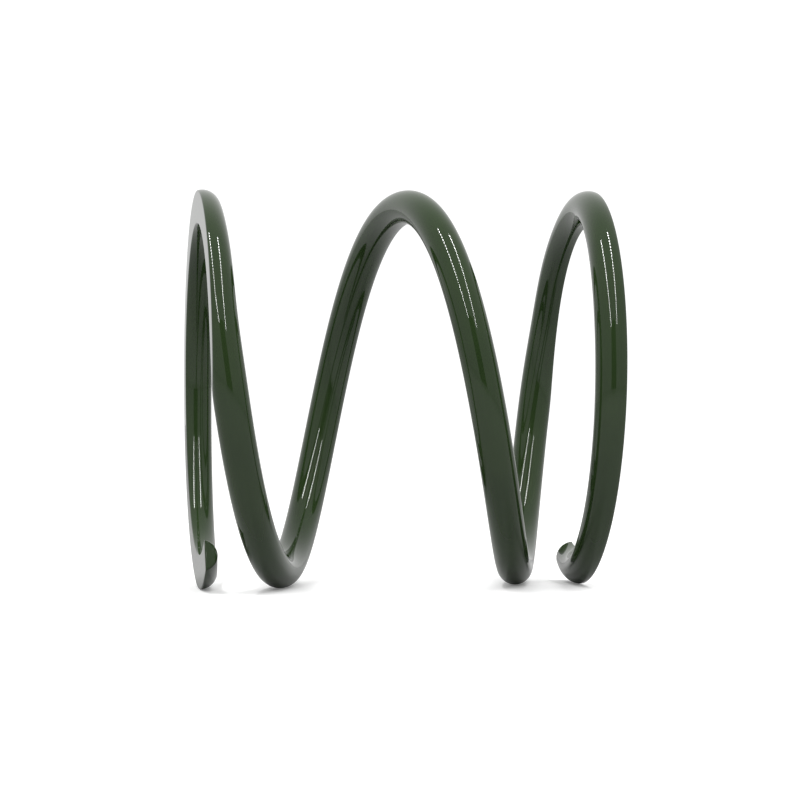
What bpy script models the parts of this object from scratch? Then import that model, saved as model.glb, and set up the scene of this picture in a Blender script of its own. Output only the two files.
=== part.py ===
"""Helical compression spring of round wire with ground ends, lying on its side.

A real spring of this kind is one piece of wire that twists along its length when the spring
is pressed, and every place on it moves along the axis by its share of the travel. The wire is
cut here into short rigid stretches, each its own object. Each cut lies in a plane through the
coil's axis, so that neighbours slide past each other along the axis with a constant gap. The
ground end coils lie on their seats over all of their flats, so each is one rigid stretch.

Frame: the spring's axis is along +X, halfway between the ends' furthest points at X = 0, +Z is
up and the lowest turns rest on Z = 0. Places along the wire are in turns from the top of the
middle coil, and grow towards +X. The left ground face is square to the axis. The right one is
a little out of square and leans out at the top.
"""

import math

import bmesh
import bpy
from mathutils import Vector

MM = 0.001

# Driving dimensions.
OUTER_DIAMETER = 60.0 * MM
WIRE_DIAMETER = 5.2 * MM
FREE_LENGTH = 60.6 * MM  # over the two ground faces, at the top, where it is longest
RIGHT_LEAN = 0.037  # slope of the right ground face out of square
TIP_TURNS = 1.561  # from the middle coil's top to either tip of the wire, on average
TIP_SHIFT = 0.017  # by which the left tip is further from it, and the right tip nearer
SEATED_TURNS = 0.829  # of wire at each end, which lie on the seat and don't twist
MIDDLE_SHIFT = 1.35 * MM  # of the middle coil's top from X = 0
FREE_STRETCHES = 20  # twisting stretches between the two end coils
CUT_GAP = 0.3 * MM  # clearance between the flat ends of neighbouring stretches

# Where the wire's centre line is along the axis, one way from the middle: the share of the way
# to the end's ground face, how far short of it, in wire diameters, and the share of the end's
# lean. The end rows start with turns back from TIP_TURNS. The middle rows start with the share
# of the wire up to the first end row.
END_ROUTE = (
    (1.061, 0.602, 0.000, 0.0),
    (0.894, 0.857, 0.100, 0.4),
    (0.811, 0.950, 0.180, 0.8),
    (0.728, 1.000, 0.210, 1.0),
    (0.611, 1.000, 0.125, 1.0),
    (0.361, 1.000, 0.340, 1.0),
    (0.161, 1.000, 0.220, 1.0),
    (-0.018, 1.000, -0.140, 1.0),
)
MIDDLE_ROUTE = ((0.0, 0.0, 0.0, 0.0), (0.5, 0.262, 0.0, 0.0))

# Facets: an odd number a turn puts a flat at the bottom of every coil. Sections lie at whole
# facets from the middle coil's top.
FACETS_PER_TURN = 41
SECTION_SIDES = 16

WIRE_RADIUS = WIRE_DIAMETER / 2
COIL_RADIUS = (OUTER_DIAMETER - WIRE_DIAMETER) / 2
AXIS_HEIGHT = (COIL_RADIUS + WIRE_RADIUS) * math.cos(math.pi / FACETS_PER_TURN)
LEAN = {-1: 0.0, 1: RIGHT_LEAN}
REACH = {side: FREE_LENGTH / 2 - LEAN[side] * OUTER_DIAMETER / 2 for side in LEAN}
TIPS = {-1: -TIP_TURNS - TIP_SHIFT, 1: TIP_TURNS - TIP_SHIFT}
FREE_END_TURNS = TIP_TURNS - SEATED_TURNS
MIDDLE_TURNS = TIP_TURNS - END_ROUTE[0][0]
ROUTE = tuple((share * MIDDLE_TURNS, *row) for share, *row in MIDDLE_ROUTE) + tuple(
    (TIP_TURNS - back, *row) for back, *row in END_ROUTE
)
PAINT_GREEN = (0.020, 0.032, 0.016, 1.0)


def smooth_value(points, column, at):
    """A column of the points at this place, on a smooth curve that adds no humps."""
    places = [point[0] for point in points]
    values = [point[column] for point in points]
    slopes = [(values[i + 1] - values[i]) / (places[i + 1] - places[i]) for i in range(len(points) - 1)]
    tangents = [slopes[0]]
    for before, after in zip(slopes, slopes[1:]):
        agree = before * after > 0
        tangents.append(2 * before * after / (before + after) if agree else 0.0)
    tangents.append(slopes[-1])
    at = min(max(at, places[0]), places[-1])
    i = max(j for j in range(len(slopes)) if places[j] <= at)
    width = places[i + 1] - places[i]
    s = (at - places[i]) / width
    return (
        values[i] * (1 + 2 * s) * (1 - s) ** 2
        + tangents[i] * width * s * (1 - s) ** 2
        + values[i + 1] * s * s * (3 - 2 * s)
        + tangents[i + 1] * width * s * s * (s - 1)
    )


def along_axis(turns):
    """The centre line's X at this place along the wire."""
    side = -1 if turns < 0 else 1
    share, short, leaning = (smooth_value(ROUTE, column, abs(turns)) for column in (1, 2, 3))
    rise = COIL_RADIUS * math.cos(2 * math.pi * turns)
    to_end = share * REACH[side] - short * WIRE_DIAMETER + leaning * LEAN[side] * rise
    return side * to_end + (1 - share) * MIDDLE_SHIFT


def centre(turns):
    """The wire's centre at this place."""
    angle = 2 * math.pi * turns
    return Vector(
        (
            along_axis(turns),
            -COIL_RADIUS * math.sin(angle),
            AXIS_HEIGHT + COIL_RADIUS * math.cos(angle),
        )
    )


def tangent(turns):
    """The direction in which the wire runs at this place."""
    step = 1e-4
    return (centre(turns + step) - centre(turns - step)).normalized()


def ring(turns):
    """The corners of the wire's section, square to the wire."""
    along = tangent(turns)
    angle = 2 * math.pi * turns
    outward = Vector((0, -math.sin(angle), math.cos(angle)))
    outward = (outward - outward.dot(along) * along).normalized()
    sideways = along.cross(outward)
    middle = centre(turns)
    corners = [2 * math.pi * side / SECTION_SIDES for side in range(SECTION_SIDES)]
    return [middle + WIRE_RADIUS * (math.cos(a) * outward + math.sin(a) * sideways) for a in corners]


def cut_ring(turns, back):
    """The section's corners moved along the wire into the plane through the coil's axis here.

    back is how far the plane is set back along the coil's round, for the gap at the cut.
    """
    along = tangent(turns)
    angle = 2 * math.pi * turns
    round_coil = Vector((0, -math.cos(angle), -math.sin(angle)))
    middle = centre(turns)
    moves = [(back - (point - middle).dot(round_coil)) / along.dot(round_coil) for point in ring(turns)]
    return [point + move * along for point, move in zip(ring(turns), moves)]


def wire_solid(first, last):
    """A closed tube along the wire between two places, set back from each cut."""
    after_first = math.ceil(first * FACETS_PER_TURN + 0.4)
    before_last = math.floor(last * FACETS_PER_TURN - 0.4)
    outlines = [ring(facet / FACETS_PER_TURN) for facet in range(after_first, before_last + 1)]
    at_left_tip, at_right_tip = first == TIPS[-1], last == TIPS[1]
    outlines.insert(0, ring(first) if at_left_tip else cut_ring(first, CUT_GAP / 2))
    outlines.append(ring(last) if at_right_tip else cut_ring(last, -CUT_GAP / 2))
    mesh = bmesh.new()
    rings = [[mesh.verts.new(corner) for corner in outline] for outline in outlines]
    for near, far in zip(rings, rings[1:]):
        for side in range(SECTION_SIDES):
            after = (side + 1) % SECTION_SIDES
            mesh.faces.new((near[side], near[after], far[after], far[side]))
    mesh.faces.new(rings[0][::-1])
    mesh.faces.new(rings[-1])
    return mesh


def grind(mesh, side):
    """Cuts the solid flat at the ground face of this side, -1 or 1."""
    point = Vector((side * REACH[side], 0, AXIS_HEIGHT))
    normal = Vector((side, 0, -LEAN[side])).normalized()
    if not any((vertex.co - point).dot(normal) > 0 for vertex in mesh.verts):
        return
    cut = bmesh.ops.bisect_plane(
        mesh,
        geom=mesh.verts[:] + mesh.edges[:] + mesh.faces[:],
        dist=1e-7,
        plane_co=point,
        plane_no=normal,
        clear_outer=True,
    )
    rim = [piece for piece in cut["geom_cut"] if isinstance(piece, bmesh.types.BMEdge)]
    bmesh.ops.holes_fill(mesh, edges=[edge for edge in rim if edge.is_boundary], sides=0)


def paint():
    """Dark green gloss enamel."""
    material = bpy.data.materials.new("green_enamel")
    material.use_nodes = True
    shader = material.node_tree.nodes["Principled BSDF"]
    shader.inputs["Base Color"].default_value = PAINT_GREEN
    shader.inputs["Roughness"].default_value = 0.18
    shader.inputs["Metallic"].default_value = 0.0
    return material


def add_stretch(name, first, last, origin_turns):
    """One rigid stretch of wire, with its origin on the wire's centre line at a cut."""
    mesh = wire_solid(first, last)
    grind(mesh, -1)
    grind(mesh, 1)
    bmesh.ops.recalc_face_normals(mesh, faces=mesh.faces[:])
    origin = centre(origin_turns)
    bmesh.ops.translate(mesh, verts=mesh.verts[:], vec=-origin)
    data = bpy.data.meshes.new(name)
    mesh.to_mesh(data)
    mesh.free()
    data.shade_smooth()
    data.set_sharp_from_angle(angle=math.radians(40))
    data.materials.append(paint())
    stretch = bpy.data.objects.new(name, data)
    stretch.location = origin
    bpy.context.scene.collection.objects.link(stretch)


def clear_scene():
    for old in list(bpy.data.objects):
        bpy.data.objects.remove(old, do_unlink=True)


def build():
    clear_scene()
    length = 2 * FREE_END_TURNS / FREE_STRETCHES
    add_stretch("left_end_coil", TIPS[-1], -FREE_END_TURNS, -FREE_END_TURNS)
    for number in range(FREE_STRETCHES):
        first = -FREE_END_TURNS + number * length
        add_stretch(f"wire_{number + 1:02d}", first, first + length, first)
    add_stretch("right_end_coil", FREE_END_TURNS, TIPS[1], FREE_END_TURNS)


build()
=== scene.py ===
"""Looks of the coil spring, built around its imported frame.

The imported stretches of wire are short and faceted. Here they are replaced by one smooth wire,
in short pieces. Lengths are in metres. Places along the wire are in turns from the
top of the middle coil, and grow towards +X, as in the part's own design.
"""

import math

import bpy
import numpy as np
from mathutils import Matrix, Vector


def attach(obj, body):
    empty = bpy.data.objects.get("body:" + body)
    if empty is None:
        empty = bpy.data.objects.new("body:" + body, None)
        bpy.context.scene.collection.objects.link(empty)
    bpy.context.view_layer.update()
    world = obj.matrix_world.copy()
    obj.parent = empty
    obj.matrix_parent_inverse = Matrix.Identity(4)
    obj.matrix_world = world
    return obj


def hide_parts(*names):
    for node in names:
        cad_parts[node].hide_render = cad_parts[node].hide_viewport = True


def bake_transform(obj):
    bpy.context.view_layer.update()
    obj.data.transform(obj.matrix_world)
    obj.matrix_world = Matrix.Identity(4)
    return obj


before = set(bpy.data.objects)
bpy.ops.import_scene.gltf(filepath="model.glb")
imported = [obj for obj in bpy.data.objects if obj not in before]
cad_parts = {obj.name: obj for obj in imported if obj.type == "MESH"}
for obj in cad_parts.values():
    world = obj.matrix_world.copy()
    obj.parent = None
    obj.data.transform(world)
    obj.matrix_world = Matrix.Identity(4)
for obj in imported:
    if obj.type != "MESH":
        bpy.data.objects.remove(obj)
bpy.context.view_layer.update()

MM = 0.001

# The wire's design, as the part has it.
OUTER_DIAMETER = 60.0 * MM
WIRE_DIAMETER = 5.2 * MM
FREE_LENGTH = 60.6 * MM
RIGHT_LEAN = 0.037
TIP_TURNS = 1.561
TIP_SHIFT = 0.017
SEATED_TURNS = 0.829
MIDDLE_SHIFT = 1.35 * MM
FREE_STRETCHES = 20
FACETS_PER_TURN = 41
END_ROUTE = (
    (1.061, 0.602, 0.000, 0.0),
    (0.894, 0.857, 0.100, 0.4),
    (0.811, 0.950, 0.180, 0.8),
    (0.728, 1.000, 0.210, 1.0),
    (0.611, 1.000, 0.125, 1.0),
    (0.361, 1.000, 0.340, 1.0),
    (0.161, 1.000, 0.220, 1.0),
    (-0.018, 1.000, -0.140, 1.0),
)
MIDDLE_ROUTE = ((0.0, 0.0, 0.0, 0.0), (0.5, 0.262, 0.0, 0.0))

WIRE_RADIUS = WIRE_DIAMETER / 2
COIL_RADIUS = (OUTER_DIAMETER - WIRE_DIAMETER) / 2
AXIS_HEIGHT = (COIL_RADIUS + WIRE_RADIUS) * math.cos(math.pi / FACETS_PER_TURN)
FLOOR_HEIGHT = AXIS_HEIGHT - COIL_RADIUS - WIRE_RADIUS
LEAN = {-1: 0.0, 1: RIGHT_LEAN}
REACH = {side: FREE_LENGTH / 2 - LEAN[side] * OUTER_DIAMETER / 2 for side in LEAN}
TIPS = {-1: -TIP_TURNS - TIP_SHIFT, 1: TIP_TURNS - TIP_SHIFT}
FREE_END_TURNS = TIP_TURNS - SEATED_TURNS
MIDDLE_TURNS = TIP_TURNS - END_ROUTE[0][0]
ROUTE = np.array(
    [(share * MIDDLE_TURNS, *row) for share, *row in MIDDLE_ROUTE]
    + [(TIP_TURNS - back, *row) for back, *row in END_ROUTE]
)

# The fine surface.
PIECES_PER_STRETCH = 4
STEPS_PER_PIECE = 4
SIDES = 80
EASE_TURNS = 0.022  # over which the route's changes of slope are eased
EASE_REACH = 2.5  # how many times that the easing reaches, each way
EASE_SAMPLES = 21
DEEPEST = 1.6  # depth of the ground face, in wire radii, beyond which it makes no difference
OUTLINE_SAMPLES = 4001
CROWD_WIDTH = 0.16  # radians each way, over which sides crowd at a ground face's edge
CROWD_DENSITY = 7  # how many times more sides there are at the edge
CROWD_FROM, CROWD_OVER = 0.45, 0.25  # turns from the middle where crowding starts, and grows
LEAST_COSINE = 0.05  # of the angle to the ground face, for an outline point that it can cut
GROUND_BAND = 0.25 * MM  # ground depth over which a point counts as on the ground face
LEAST_RADIUS = 0.02 * MM  # of an inset ring at the cut end
RIM_STEPS, END_STEPS = 6, 8  # rings over the rounded rim of a cut end, and over its flat
END_REACH = 0.98  # how far the last ring is in from the edge, in wire radii
EDGE_SOFTNESS = 0.16 * MM  # rounding of the painted edge of a ground face
TIP_ROUNDING = 0.30 * MM  # rounding of the painted rim of the wire's cut end


# ---------------------------------------------------------------- the wire's shape


def smooth_values(points, column, at):
    """A column of the points at these places, on a smooth curve that adds no humps."""
    places, values = points[:, 0], points[:, column]
    slopes = np.diff(values) / np.diff(places)
    product, total = slopes[:-1] * slopes[1:], slopes[:-1] + slopes[1:]
    inner = np.where(product > 0, 2 * product / np.where(total == 0, 1, total), 0)
    tangents = np.concatenate([slopes[:1], inner, slopes[-1:]])
    at = np.clip(at, places[0], places[-1])
    i = np.clip(np.searchsorted(places, at, side="right") - 1, 0, len(slopes) - 1)
    width = places[i + 1] - places[i]
    s = (at - places[i]) / width
    return (
        values[i] * (1 + 2 * s) * (1 - s) ** 2
        + tangents[i] * width * s * (1 - s) ** 2
        + values[i + 1] * s * s * (3 - 2 * s)
        + tangents[i + 1] * width * s * s * (s - 1)
    )


def route_along_axis(turns):
    """The centre line's X at these places, as the part has it."""
    share, short, leaning = (
        smooth_values(ROUTE, column, np.abs(turns)) for column in (1, 2, 3)
    )
    side = np.where(turns < 0, -1, 1)
    reach = np.where(side < 0, REACH[-1], REACH[1])
    lean = np.where(side < 0, LEAN[-1], LEAN[1])
    rise = COIL_RADIUS * np.cos(2 * np.pi * turns)
    to_end = share * reach - short * WIRE_DIAMETER + leaning * lean * rise
    return side * to_end + (1 - share) * MIDDLE_SHIFT


def along_axis(turns):
    """The same, eased over a short length, so that highlights run along it without a kink."""
    offsets = np.linspace(-EASE_REACH, EASE_REACH, EASE_SAMPLES)
    weights = np.exp(-0.5 * offsets**2)
    weights /= weights.sum()
    room = np.minimum(turns - TIPS[-1], TIPS[1] - turns) / (EASE_REACH * EASE_TURNS)
    reach = EASE_TURNS * np.clip(room, 0, 1)
    return sum(
        weight * route_along_axis(turns + offset * reach)
        for weight, offset in zip(weights, offsets)
    )


def centres(turns):
    """The wire's centre at these places."""
    angle = 2 * np.pi * turns
    across = -COIL_RADIUS * np.sin(angle)
    up = AXIS_HEIGHT + COIL_RADIUS * np.cos(angle)
    return np.stack([along_axis(turns), across, up], axis=-1)


def unit(vectors):
    """The same directions, one long."""
    return vectors / np.linalg.norm(vectors, axis=-1, keepdims=True)


def tangents_at(turns):
    """The directions in which the wire runs at these places."""
    step = 1e-4
    return unit(centres(turns + step) - centres(turns - step))


def section(depth, fade):
    """The outline of the wire's section, as angles and distances about its pole.

    Angles are from the direction of the ground face. depth is how far that face is from the
    wire's centre, more than the wire's radius where the wire isn't ground. The pole is the
    middle of the section's thickness there, and is given as how far it is behind the centre.
    fade is 0 for even sides, and 1 where they crowd at the ground face's edge. The last result
    is how much each point lies on the ground face.
    """
    depth = min(depth, WIRE_RADIUS * DEEPEST)
    pole = max(0.0, (WIRE_RADIUS - depth) / 2)
    inside = min(depth, WIRE_RADIUS)
    edge = math.atan2(math.sqrt(max(WIRE_RADIUS**2 - inside**2, 0.0)), pole + inside)
    fine = np.linspace(-np.pi, np.pi, OUTLINE_SAMPLES)
    at_edges = np.exp(-(((fine - edge) / CROWD_WIDTH) ** 2)) + np.exp(
        -(((fine + edge) / CROWD_WIDTH) ** 2)
    )
    density = 1 + CROWD_DENSITY * fade * at_edges
    total = np.concatenate([[0], np.cumsum((density[1:] + density[:-1]) / 2)])
    shares = (np.arange(SIDES) / SIDES) * total[-1]
    angles = np.interp(shares, total, fine)
    toward_face = np.cos(angles)
    chord = (pole * toward_face) ** 2 + WIRE_RADIUS**2 - pole**2
    round_side = pole * toward_face + np.sqrt(chord)
    facing = toward_face > LEAST_COSINE
    flat_side = np.where(facing, (pole + depth) / np.maximum(toward_face, LEAST_COSINE), 1.0)
    gap = round_side - flat_side
    radii = (round_side + flat_side - np.sqrt(gap**2 + EDGE_SOFTNESS**2)) / 2
    radii = np.where(facing, radii, round_side)
    ground = np.clip(gap / GROUND_BAND, 0, 1)
    return angles, radii, pole, ground


def wire_ring(turns, inset=0.0, shift=0.0):
    """Points round the wire at this place, and how much each lies on a ground face.

    inset is how far they are moved in from the wire's surface, and shift how far along it.
    """
    turns_at = np.array([turns])
    middle, along = centres(turns_at)[0], tangents_at(turns_at)[0]
    side = -1 if turns < 0 else 1
    face_normal = unit(np.array([side, 0, -LEAN[side]]))
    to_face = unit(face_normal - face_normal.dot(along) * along)
    across = np.cross(along, to_face)
    face_point = np.array([side * REACH[side], 0, AXIS_HEIGHT])
    depth = (face_point - middle).dot(face_normal) / to_face.dot(face_normal)
    fade = np.clip((abs(turns) - CROWD_FROM) / CROWD_OVER, 0, 1)
    angles, radii, pole, ground = section(depth, fade)
    first_side = 0 if side < 0 else SIDES // 2  # so that both halves' sides meet in the middle
    order = (np.arange(SIDES) + first_side) % SIDES
    angles, radii, ground = angles[order], radii[order], ground[order]
    radii = np.maximum(radii - inset, LEAST_RADIUS)
    root = middle - pole * to_face + shift * along
    directions = np.cos(angles)[:, None] * to_face + np.sin(angles)[:, None] * across
    return root + radii[:, None] * directions, ground


def tip_rings(turns, outward):
    """Rings that close the wire's cut end, from its edge in: a rounded rim, then a flat face.

    outward is 1 where the wire ends towards +X, and -1 at its other end.
    """
    rings = []
    for step in range(1, RIM_STEPS + 1):
        angle = math.pi / 2 * step / RIM_STEPS
        inset = TIP_ROUNDING * (1 - math.cos(angle))
        rise = TIP_ROUNDING * (math.sin(angle) - 1)
        rings.append(wire_ring(turns, inset, outward * rise))
    for step in range(1, END_STEPS + 1):
        inset = TIP_ROUNDING + (WIRE_RADIUS * END_REACH - TIP_ROUNDING) * step / END_STEPS
        rings.append(wire_ring(turns, inset))
    return rings


def build_grid():
    """All the rings of the whole wire, from the left tip to the right one.

    It returns the rings' points and ground marks, the places of the rings between the tips'
    own, how many rings a tip has, and how many steps follow them up to the first stretch.
    """
    steps = STEPS_PER_PIECE * PIECES_PER_STRETCH * FREE_STRETCHES
    step = 2 * FREE_END_TURNS / steps
    rim = TIP_ROUNDING / (2 * math.pi * COIL_RADIUS)
    first, last = -FREE_END_TURNS, FREE_END_TURNS
    free = np.linspace(first, last, steps + 1)
    left_rim, right_rim = TIPS[-1] + rim, TIPS[1] - rim
    left_steps = round((first - left_rim) / step)
    right_steps = round((right_rim - last) / step)
    left = np.linspace(left_rim, first, left_steps + 1)
    right = np.linspace(last, right_rim, right_steps + 1)
    turns = np.concatenate([left[:-1], free, right[1:]])
    left_tip, right_tip = tip_rings(TIPS[-1], -1)[::-1], tip_rings(TIPS[1], 1)
    rings = left_tip + [wire_ring(place) for place in turns] + right_tip
    points = np.array([ring[0] for ring in rings])
    ground = np.array([ring[1] for ring in rings])
    return points, ground, turns, len(left_tip), left_steps


def grid_normals(points):
    """Outward normals of the grid, from its neighbours both ways."""
    along = np.gradient(points, axis=0)
    around = np.roll(points, -1, axis=1) - np.roll(points, 1, axis=1)
    return unit(np.cross(around, along))


def add_piece(name, points, normals, ground, closes=0):
    """A painted mesh over these rings.

    closes is -1 where its first ring is the left tip's last, and 1 where its last ring is the
    right tip's, and that ring is closed with a fan. The paint reads where each point is at rest
    and how much it lies on a ground face.
    """
    rows, sides = points.shape[:2]
    vertices = points.reshape(-1, 3).tolist()
    vertex_normals = normals.reshape(-1, 3).tolist()
    marks = ground.reshape(-1).tolist()
    faces = []
    for row in range(rows - 1):
        for side in range(sides):
            after = (side + 1) % sides
            near, far = row * sides, (row + 1) * sides
            faces.append((near + side, near + after, far + after, far + side))
    if closes:
        row = 0 if closes < 0 else rows - 1
        ring = row * sides
        middle = len(vertices)
        vertices.append(points[row].mean(axis=0).tolist())
        vertex_normals.append(normals[row].mean(axis=0).tolist())
        marks.append(0.0)
        for side in range(sides):
            after = (side + 1) % sides
            pair = (ring + after, ring + side) if closes < 0 else (ring + side, ring + after)
            faces.append((*pair, middle))
    mesh = bpy.data.meshes.new(name)
    mesh.from_pydata(vertices, [], faces)
    mesh.update()
    mesh.shade_smooth()
    mesh.normals_split_custom_set_from_vertices(vertex_normals)
    rest = mesh.attributes.new("rest_place", "FLOAT_VECTOR", "POINT")
    rest.data.foreach_set("vector", np.array(vertices, np.float32).ravel())
    mark = mesh.attributes.new("ground_face", "FLOAT", "POINT")
    mark.data.foreach_set("value", np.array(marks, np.float32))
    piece = bpy.data.objects.new(name, mesh)
    bpy.context.scene.collection.objects.link(piece)
    return piece


def build_wire(material):
    """The whole wire: a rigid piece in each end coil, and short pieces between.
    """
    points, ground, turns, tip, left_steps = build_grid()
    normals = grid_normals(points)
    first = tip + left_steps
    count = PIECES_PER_STRETCH * FREE_STRETCHES
    last = first + STEPS_PER_PIECE * count

    rows = slice(0, first + 1)
    left = add_piece("left_coil_wire", points[rows], normals[rows], ground[rows], -1)
    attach(left, "left_end_coil")
    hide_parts("left_end_coil")
    rows = slice(last, len(points))
    right = add_piece("right_coil_wire", points[rows], normals[rows], ground[rows], 1)
    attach(right, "right_end_coil")
    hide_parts("right_end_coil")
    pieces = [left, right]
    for number in range(count):
        start = first + number * STEPS_PER_PIECE
        rows = slice(start, start + STEPS_PER_PIECE + 1)
        stretch = number // PIECES_PER_STRETCH
        part = "abcd"[number % PIECES_PER_STRETCH]
        name = f"giving_wire_{stretch + 1:02d}{part}"
        piece = add_piece(name, points[rows], normals[rows], ground[rows])
        ends = centres(turns[[start - tip, start + STEPS_PER_PIECE - tip]])
        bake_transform(piece)
        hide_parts(f"wire_{stretch + 1:02d}")
        pieces.append(piece)
    for piece in pieces:
        piece.data.materials.append(material)


# ---------------------------------------------------------------- the enamel


def enamel():
    """Dark green gloss enamel over the whole wire, ground faces included.

    It is darker, and less glossy, along the edges of the ground faces.
    """
    material = bpy.data.materials.new("green_enamel_paint")
    material.use_nodes = True
    nodes, links = material.node_tree.nodes, material.node_tree.links
    shader = nodes["Principled BSDF"]
    shader.inputs["Metallic"].default_value = 0.0
    shader.inputs["IOR"].default_value = 1.5
    shader.inputs["Coat Weight"].default_value = 0.0
    place = nodes.new("ShaderNodeAttribute")
    place.attribute_name = "rest_place"
    face = nodes.new("ShaderNodeAttribute")
    face.attribute_name = "ground_face"

    def noise(scale, detail):
        texture = nodes.new("ShaderNodeTexNoise")
        texture.inputs["Scale"].default_value = scale
        texture.inputs["Detail"].default_value = detail
        texture.inputs["Roughness"].default_value = 0.5
        links.new(place.outputs["Vector"], texture.inputs["Vector"])
        return texture.outputs["Fac"]

    def spread(value, low, high, to_low, to_high):
        shape = nodes.new("ShaderNodeMapRange")
        shape.inputs["From Min"].default_value = low
        shape.inputs["From Max"].default_value = high
        shape.inputs["To Min"].default_value = to_low
        shape.inputs["To Max"].default_value = to_high
        links.new(value, shape.inputs["Value"])
        return shape.outputs["Result"]

    film = spread(noise(90, 3), 0.3, 0.7, 0.0, 1.0)
    colour = nodes.new("ShaderNodeMix")
    colour.data_type = "RGBA"
    colour.inputs["A"].default_value = (0.0155, 0.0315, 0.0090, 1)
    colour.inputs["B"].default_value = (0.0210, 0.0400, 0.0120, 1)
    links.new(film, colour.inputs["Factor"])

    # Darker colour and lower gloss along the edges of the ground faces.
    rim = nodes.new("ShaderNodeFloatCurve")
    for place_on_curve, height in ((0.1, 0.0), (0.45, 1.0), (0.8, 0.0)):
        rim.mapping.curves[0].points.new(place_on_curve, height)
    rim.mapping.curves[0].points[-1].location = (1.0, 0.0)
    links.new(face.outputs["Fac"], rim.inputs["Value"])
    darker = nodes.new("ShaderNodeMix")
    darker.data_type = "RGBA"
    darker.inputs["B"].default_value = (0.0050, 0.0090, 0.0040, 1)
    links.new(rim.outputs["Value"], darker.inputs["Factor"])
    links.new(colour.outputs["Result"], darker.inputs["A"])
    links.new(darker.outputs["Result"], shader.inputs["Base Color"])
    gloss = spread(rim.outputs["Value"], 0.0, 1.0, 0.5, 0.1)
    links.new(gloss, shader.inputs["Specular IOR Level"])
    links.new(spread(noise(420, 4), 0.3, 0.7, 0.03, 0.06), shader.inputs["Roughness"])

    peel = nodes.new("ShaderNodeBump")
    peel.inputs["Strength"].default_value = 0.10
    peel.inputs["Distance"].default_value = 0.02 * MM
    links.new(noise(900, 2), peel.inputs["Height"])
    links.new(peel.outputs["Normal"], shader.inputs["Normal"])
    return material


# ---------------------------------------------------------------- floor, light and camera


def glowing(name, colour=(1, 1, 1, 1), strength=1.0):
    """A surface that gives off this light and nothing else."""
    material = bpy.data.materials.new(name)
    material.use_nodes = True
    nodes, links = material.node_tree.nodes, material.node_tree.links
    nodes.remove(nodes["Principled BSDF"])
    glow = nodes.new("ShaderNodeEmission")
    glow.inputs["Color"].default_value = colour
    glow.inputs["Strength"].default_value = strength
    links.new(glow.outputs["Emission"], nodes["Material Output"].inputs["Surface"])
    return material


def add_stage_mesh(name, vertices, faces, material, seen=True):
    """A mesh of the stage, which the camera sees or doesn't."""
    mesh = bpy.data.meshes.new(name)
    mesh.from_pydata(vertices, [], faces)
    mesh.materials.append(material)
    piece = bpy.data.objects.new(name, mesh)
    piece.visible_camera = seen
    bpy.context.scene.collection.objects.link(piece)


FLOOR_REACH = 3.0
FLOOR_TO_LIGHT, FLOOR_TO_CAMERA = (0.42, 0.42, 0.42, 1), (0.95, 0.95, 0.95, 1)
FLOOR_LIFT = 0.15


def build_floor():
    """A pale floor. It is whiter to the camera than to light, which keeps the paint dark."""
    material = bpy.data.materials.new("pale_floor")
    material.use_nodes = True
    nodes, links = material.node_tree.nodes, material.node_tree.links
    shader = nodes["Principled BSDF"]
    shader.inputs["Roughness"].default_value = 0.7
    shader.inputs["Specular IOR Level"].default_value = 0.2
    shade = nodes.new("ShaderNodeMix")
    shade.data_type = "RGBA"
    shade.inputs["A"].default_value = FLOOR_TO_LIGHT
    shade.inputs["B"].default_value = FLOOR_TO_CAMERA
    seen = nodes.new("ShaderNodeLightPath").outputs["Is Camera Ray"]
    links.new(seen, shade.inputs["Factor"])
    links.new(shade.outputs["Result"], shader.inputs["Base Color"])
    lift = nodes.new("ShaderNodeMath")
    lift.operation = "MULTIPLY"
    lift.inputs[1].default_value = FLOOR_LIFT
    links.new(seen, lift.inputs[0])
    shader.inputs["Emission Color"].default_value = (1, 1, 1, 1)
    links.new(lift.outputs["Value"], shader.inputs["Emission Strength"])
    corners = ((-1, -1), (1, -1), (1, 1), (-1, 1))
    vertices = [(x * FLOOR_REACH, y * FLOOR_REACH, FLOOR_HEIGHT) for x, y in corners]
    add_stage_mesh("floor", vertices, [(0, 1, 2, 3)], material)


TENT_LIGHT = 1.15  # strength of the tent's light
TENT_BACK, TENT_FRONT = 0.80, 0.56  # strength of its back and its front in the gloss
TENT_FADE = (0.30, 0.95)  # Y of the directions between which the one turns into the other
LED_HEIGHT = 0.40
LED_ROWS = ((-0.180, -0.110), (0.210, 0.105))  # each row's X at its front and at its back
LED_FIRST, LED_LAST, LED_PITCH = -0.51, 0.05, 0.0150  # along Y
LED_WIDTH, LED_LENGTH = 0.018, 0.007
LED_STRENGTH = 55.0
DARK_FRONT_Y = -0.60
DARK_FRONT_X = (-0.21, 0.11)
DARK_FRONT_Z = (0.02, 0.50)
DARK_FRONT_COLOUR = (0.05, 0.05, 0.05, 1)


def build_led_strips():
    """Two rows of small lamps under the tent's roof, from front to back."""
    vertices, faces = [], []
    count = round((LED_LAST - LED_FIRST) / LED_PITCH)
    corners = ((-1, -1), (-1, 1), (1, 1), (1, -1))
    for at_front, at_back in LED_ROWS:
        for number in range(count + 1):
            x = at_front + (at_back - at_front) * number / count
            y = LED_FIRST + number * LED_PITCH
            start = len(vertices)
            vertices += [
                (x + across * LED_WIDTH / 2, y + along * LED_LENGTH / 2, LED_HEIGHT)
                for across, along in corners
            ]
            faces.append((start, start + 1, start + 2, start + 3))
    light = glowing("led_light", strength=LED_STRENGTH)
    add_stage_mesh("led_strips", vertices, faces, light, seen=False)


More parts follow.
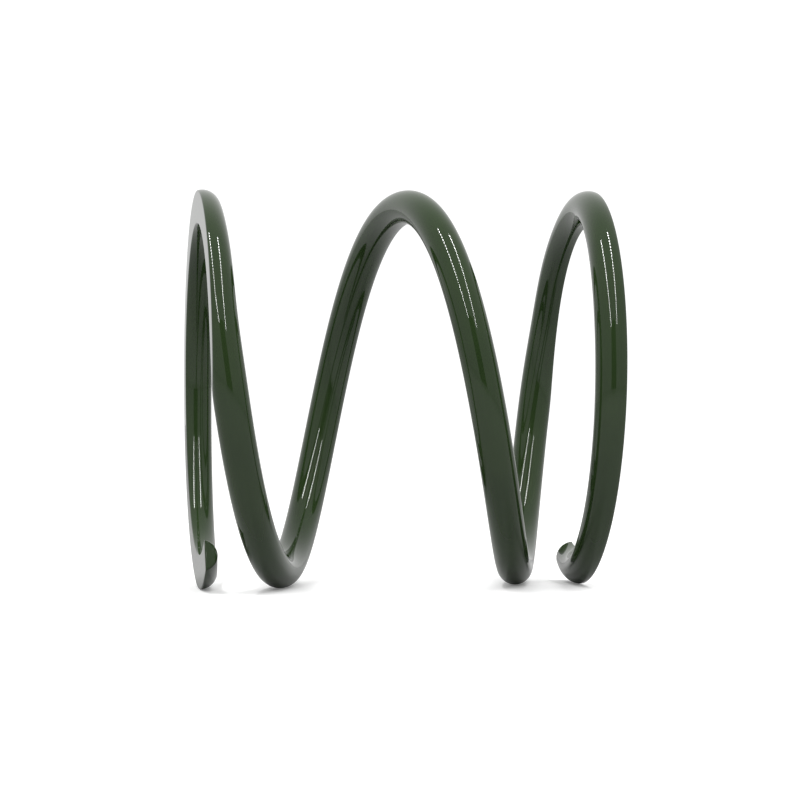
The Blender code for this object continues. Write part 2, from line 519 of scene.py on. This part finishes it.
def build_dark_front():
    """The open front of the light tent, darker than its walls, round the camera."""
    corners = ((0, 0), (1, 0), (1, 1), (0, 1))
    vertices = [(DARK_FRONT_X[i], DARK_FRONT_Y, DARK_FRONT_Z[j]) for i, j in corners]
    dark = glowing("dark_room", DARK_FRONT_COLOUR)
    add_stage_mesh("open_front", vertices, [(0, 1, 2, 3)], dark, seen=False)


def build_light():
    """A white light tent. What the gloss shows of it is dimmer towards the open front."""
    world = bpy.data.worlds.new("light_tent")
    bpy.context.scene.world = world
    world.use_nodes = True
    nodes, links = world.node_tree.nodes, world.node_tree.links
    back = nodes["Background"]
    back.inputs["Color"].default_value = (1, 1, 1, 1)
    direction = nodes.new("ShaderNodeTexCoord")
    parts = nodes.new("ShaderNodeSeparateXYZ")
    links.new(direction.outputs["Generated"], parts.inputs["Vector"])
    walls = nodes.new("ShaderNodeMapRange")
    walls.interpolation_type = "SMOOTHSTEP"
    walls.inputs["From Min"].default_value = TENT_FADE[0]
    walls.inputs["From Max"].default_value = TENT_FADE[1]
    walls.inputs["To Min"].default_value = TENT_FRONT
    walls.inputs["To Max"].default_value = TENT_BACK
    links.new(parts.outputs["Y"], walls.inputs["Value"])
    ray = nodes.new("ShaderNodeLightPath")
    strength = nodes.new("ShaderNodeMix")
    strength.inputs["A"].default_value = TENT_LIGHT
    links.new(ray.outputs["Is Glossy Ray"], strength.inputs["Factor"])
    links.new(walls.outputs["Result"], strength.inputs["B"])
    links.new(strength.outputs["Result"], back.inputs["Strength"])
    build_led_strips()
    build_dark_front()


CAMERA_YAW = math.radians(8.22)
CAMERA_ROLL = math.radians(-0.36)
CAMERA_DISTANCE = 16.09 * COIL_RADIUS
PICTURE_SIDE = 800
COIL_RADIUS_IN_PICTURE = 180.5  # in the same pixels
SENSOR_WIDTH = 36.0  # in millimetres, as Blender takes it
AIM = Vector((0.47 * MM, 0, AXIS_HEIGHT - 1.78 * MM))


def build_camera():
    """A level camera, a little to the left of square on to the spring's axis."""
    data = bpy.data.cameras.new("camera")
    data.sensor_width = SENSOR_WIDTH
    picture_share = COIL_RADIUS_IN_PICTURE / PICTURE_SIDE
    data.lens = SENSOR_WIDTH * picture_share * CAMERA_DISTANCE / COIL_RADIUS
    data.clip_start, data.clip_end = 0.01, 20
    camera = bpy.data.objects.new("camera", data)
    bpy.context.scene.collection.objects.link(camera)
    forward = Vector((math.sin(CAMERA_YAW), math.cos(CAMERA_YAW), 0))
    level = forward.to_track_quat("-Z", "Y").to_matrix()
    turn = level @ Matrix.Rotation(CAMERA_ROLL, 3, "Z")
    camera.matrix_world = Matrix.Translation(AIM - CAMERA_DISTANCE * forward) @ turn.to_4x4()
    bpy.context.scene.camera = camera


build_camera()
build_wire(enamel())
build_floor()
build_light()
bpy.context.scene.view_settings.view_transform = "Standard"
